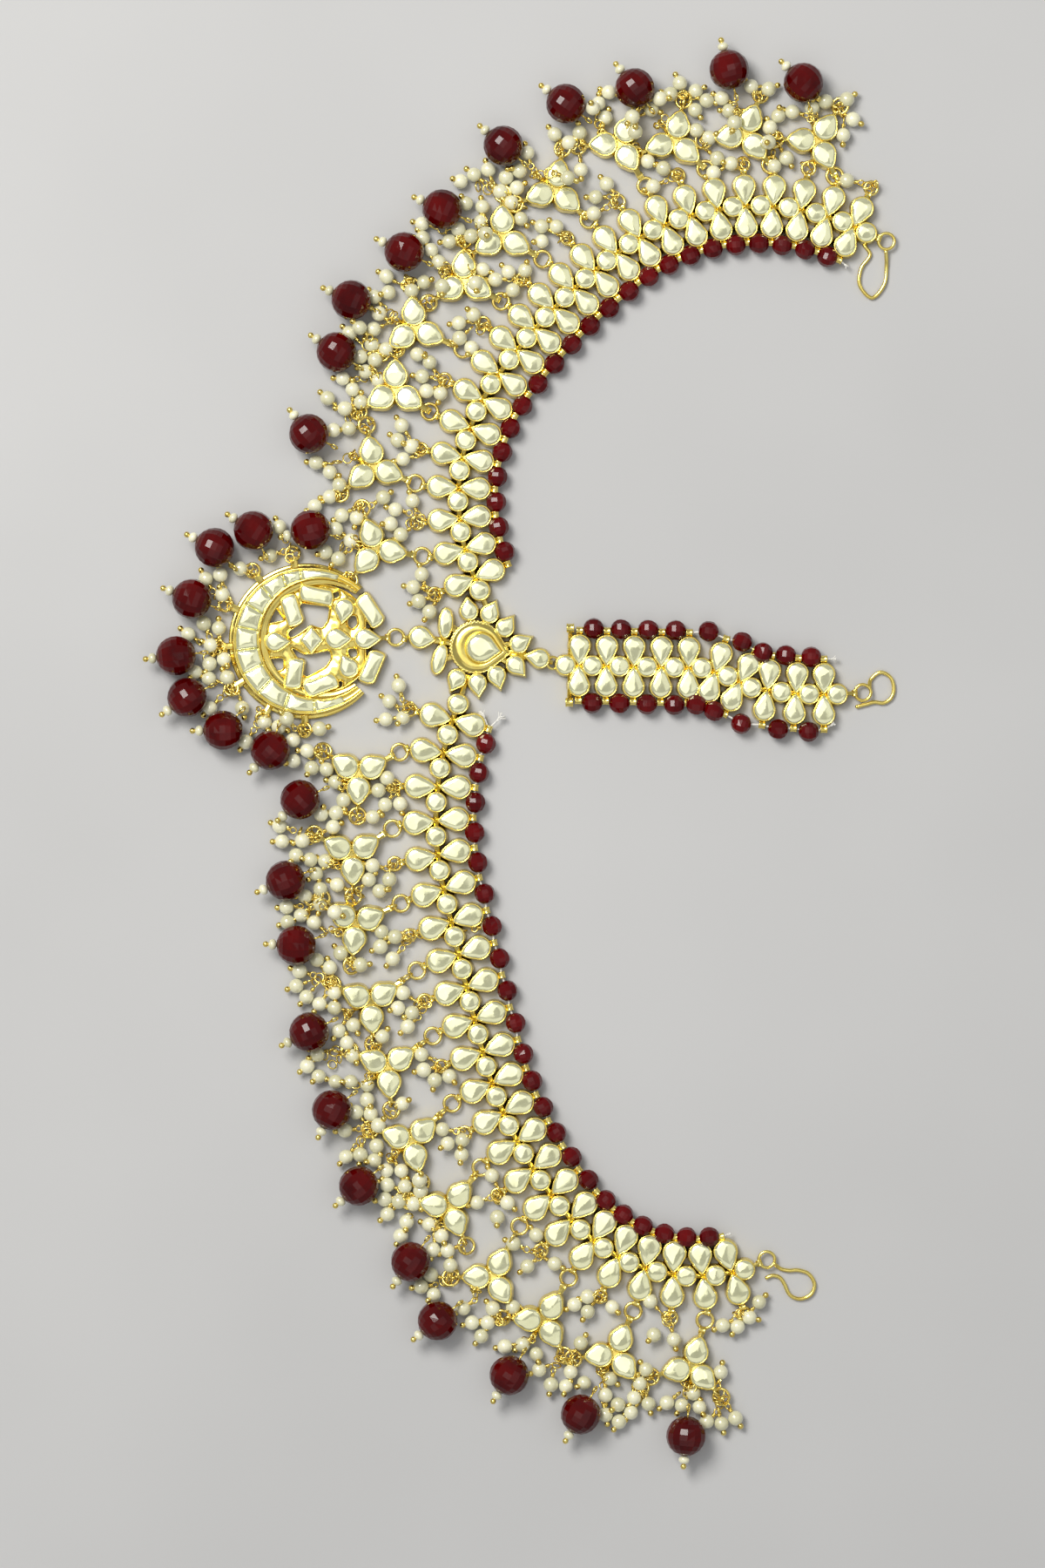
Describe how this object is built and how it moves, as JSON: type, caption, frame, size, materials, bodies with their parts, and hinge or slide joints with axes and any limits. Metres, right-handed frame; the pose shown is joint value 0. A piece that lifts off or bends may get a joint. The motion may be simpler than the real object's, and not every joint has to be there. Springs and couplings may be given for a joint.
{
  "type": "matha patti head ornament",
  "caption": "Bridal matha patti laid flat: kundan-stone arms and parting strap, star brooch, crescent tikka, pearl bunches, red bead drops and wire hooks.",
  "frame": {"origin": "underside of the star brooch's centre, on the surface that the ornament lies on", "axes": "+X from the crescent over the forehead to the back of the head along the parting, +Y to the wearer's right arm, +Z out of the stones"},
  "size_m": [0.1972, 0.3737, 0.0103],
  "materials": {
    "gold": "yellow gold plating, polished, slightly uneven",
    "kundan_stone": "faceted cream glass over silver foil, glossy",
    "pearl": "creamy white imitation pearl, satin gloss",
    "red_bead": "deep red faceted translucent beads, glossy",
    "thread": "white cotton thread, frayed at its ends"
  },
  "bodies": {
    "root": {"star_brooch": "gold", "crescent_pendant": "gold", "strap_band": "gold", "right_band_1": "gold", "right_band_2": "gold", "left_band_1": "gold", "left_band_2": "gold", "right_hook": "gold", "left_hook": "gold", "strap_hook": "gold", "strap_bead_string_1": "red_bead", "strap_bead_string_2": "red_bead", "right_bead_string": "red_bead", "left_bead_string": "red_bead", "right_bead_drop_01": "red_bead", "right_bead_drop_02": "red_bead", "right_bead_drop_03": "red_bead", "right_bead_drop_04": "red_bead", "right_bead_drop_05": "red_bead", "right_bead_drop_06": "red_bead", "right_bead_drop_07": "red_bead", "right_bead_drop_08": "red_bead", "right_bead_drop_09": "red_bead", "right_bead_drop_10": "red_bead", "right_bead_drop_11": "red_bead", "left_bead_drop_01": "red_bead", "left_bead_drop_02": "red_bead", "left_bead_drop_03": "red_bead", "left_bead_drop_04": "red_bead", "left_bead_drop_05": "red_bead", "left_bead_drop_06": "red_bead", "left_bead_drop_07": "red_bead", "left_bead_drop_08": "red_bead", "left_bead_drop_09": "red_bead", "left_bead_drop_10": "red_bead", "left_bead_drop_11": "red_bead", "right_trefoil_01": "kundan_stone", "right_trefoil_02": "kundan_stone", "right_trefoil_03": "kundan_stone", "right_trefoil_04": "kundan_stone", "right_trefoil_05": "kundan_stone", "right_trefoil_06": "kundan_stone", "right_trefoil_07": "kundan_stone", "right_trefoil_08": "kundan_stone", "right_trefoil_09": "kundan_stone", "right_trefoil_10": "kundan_stone", "right_trefoil_11": "kundan_stone", "left_trefoil_01": "kundan_stone", "left_trefoil_02": "kundan_stone", "left_trefoil_03": "kundan_stone", "left_trefoil_04": "kundan_stone", "left_trefoil_05": "kundan_stone", "left_trefoil_06": "kundan_stone", "left_trefoil_07": "kundan_stone", "left_trefoil_08": "kundan_stone", "left_trefoil_09": "kundan_stone", "left_trefoil_10": "kundan_stone", "left_trefoil_11": "kundan_stone", "crescent_fringe": "pearl"}
  },
  "joints": []
}
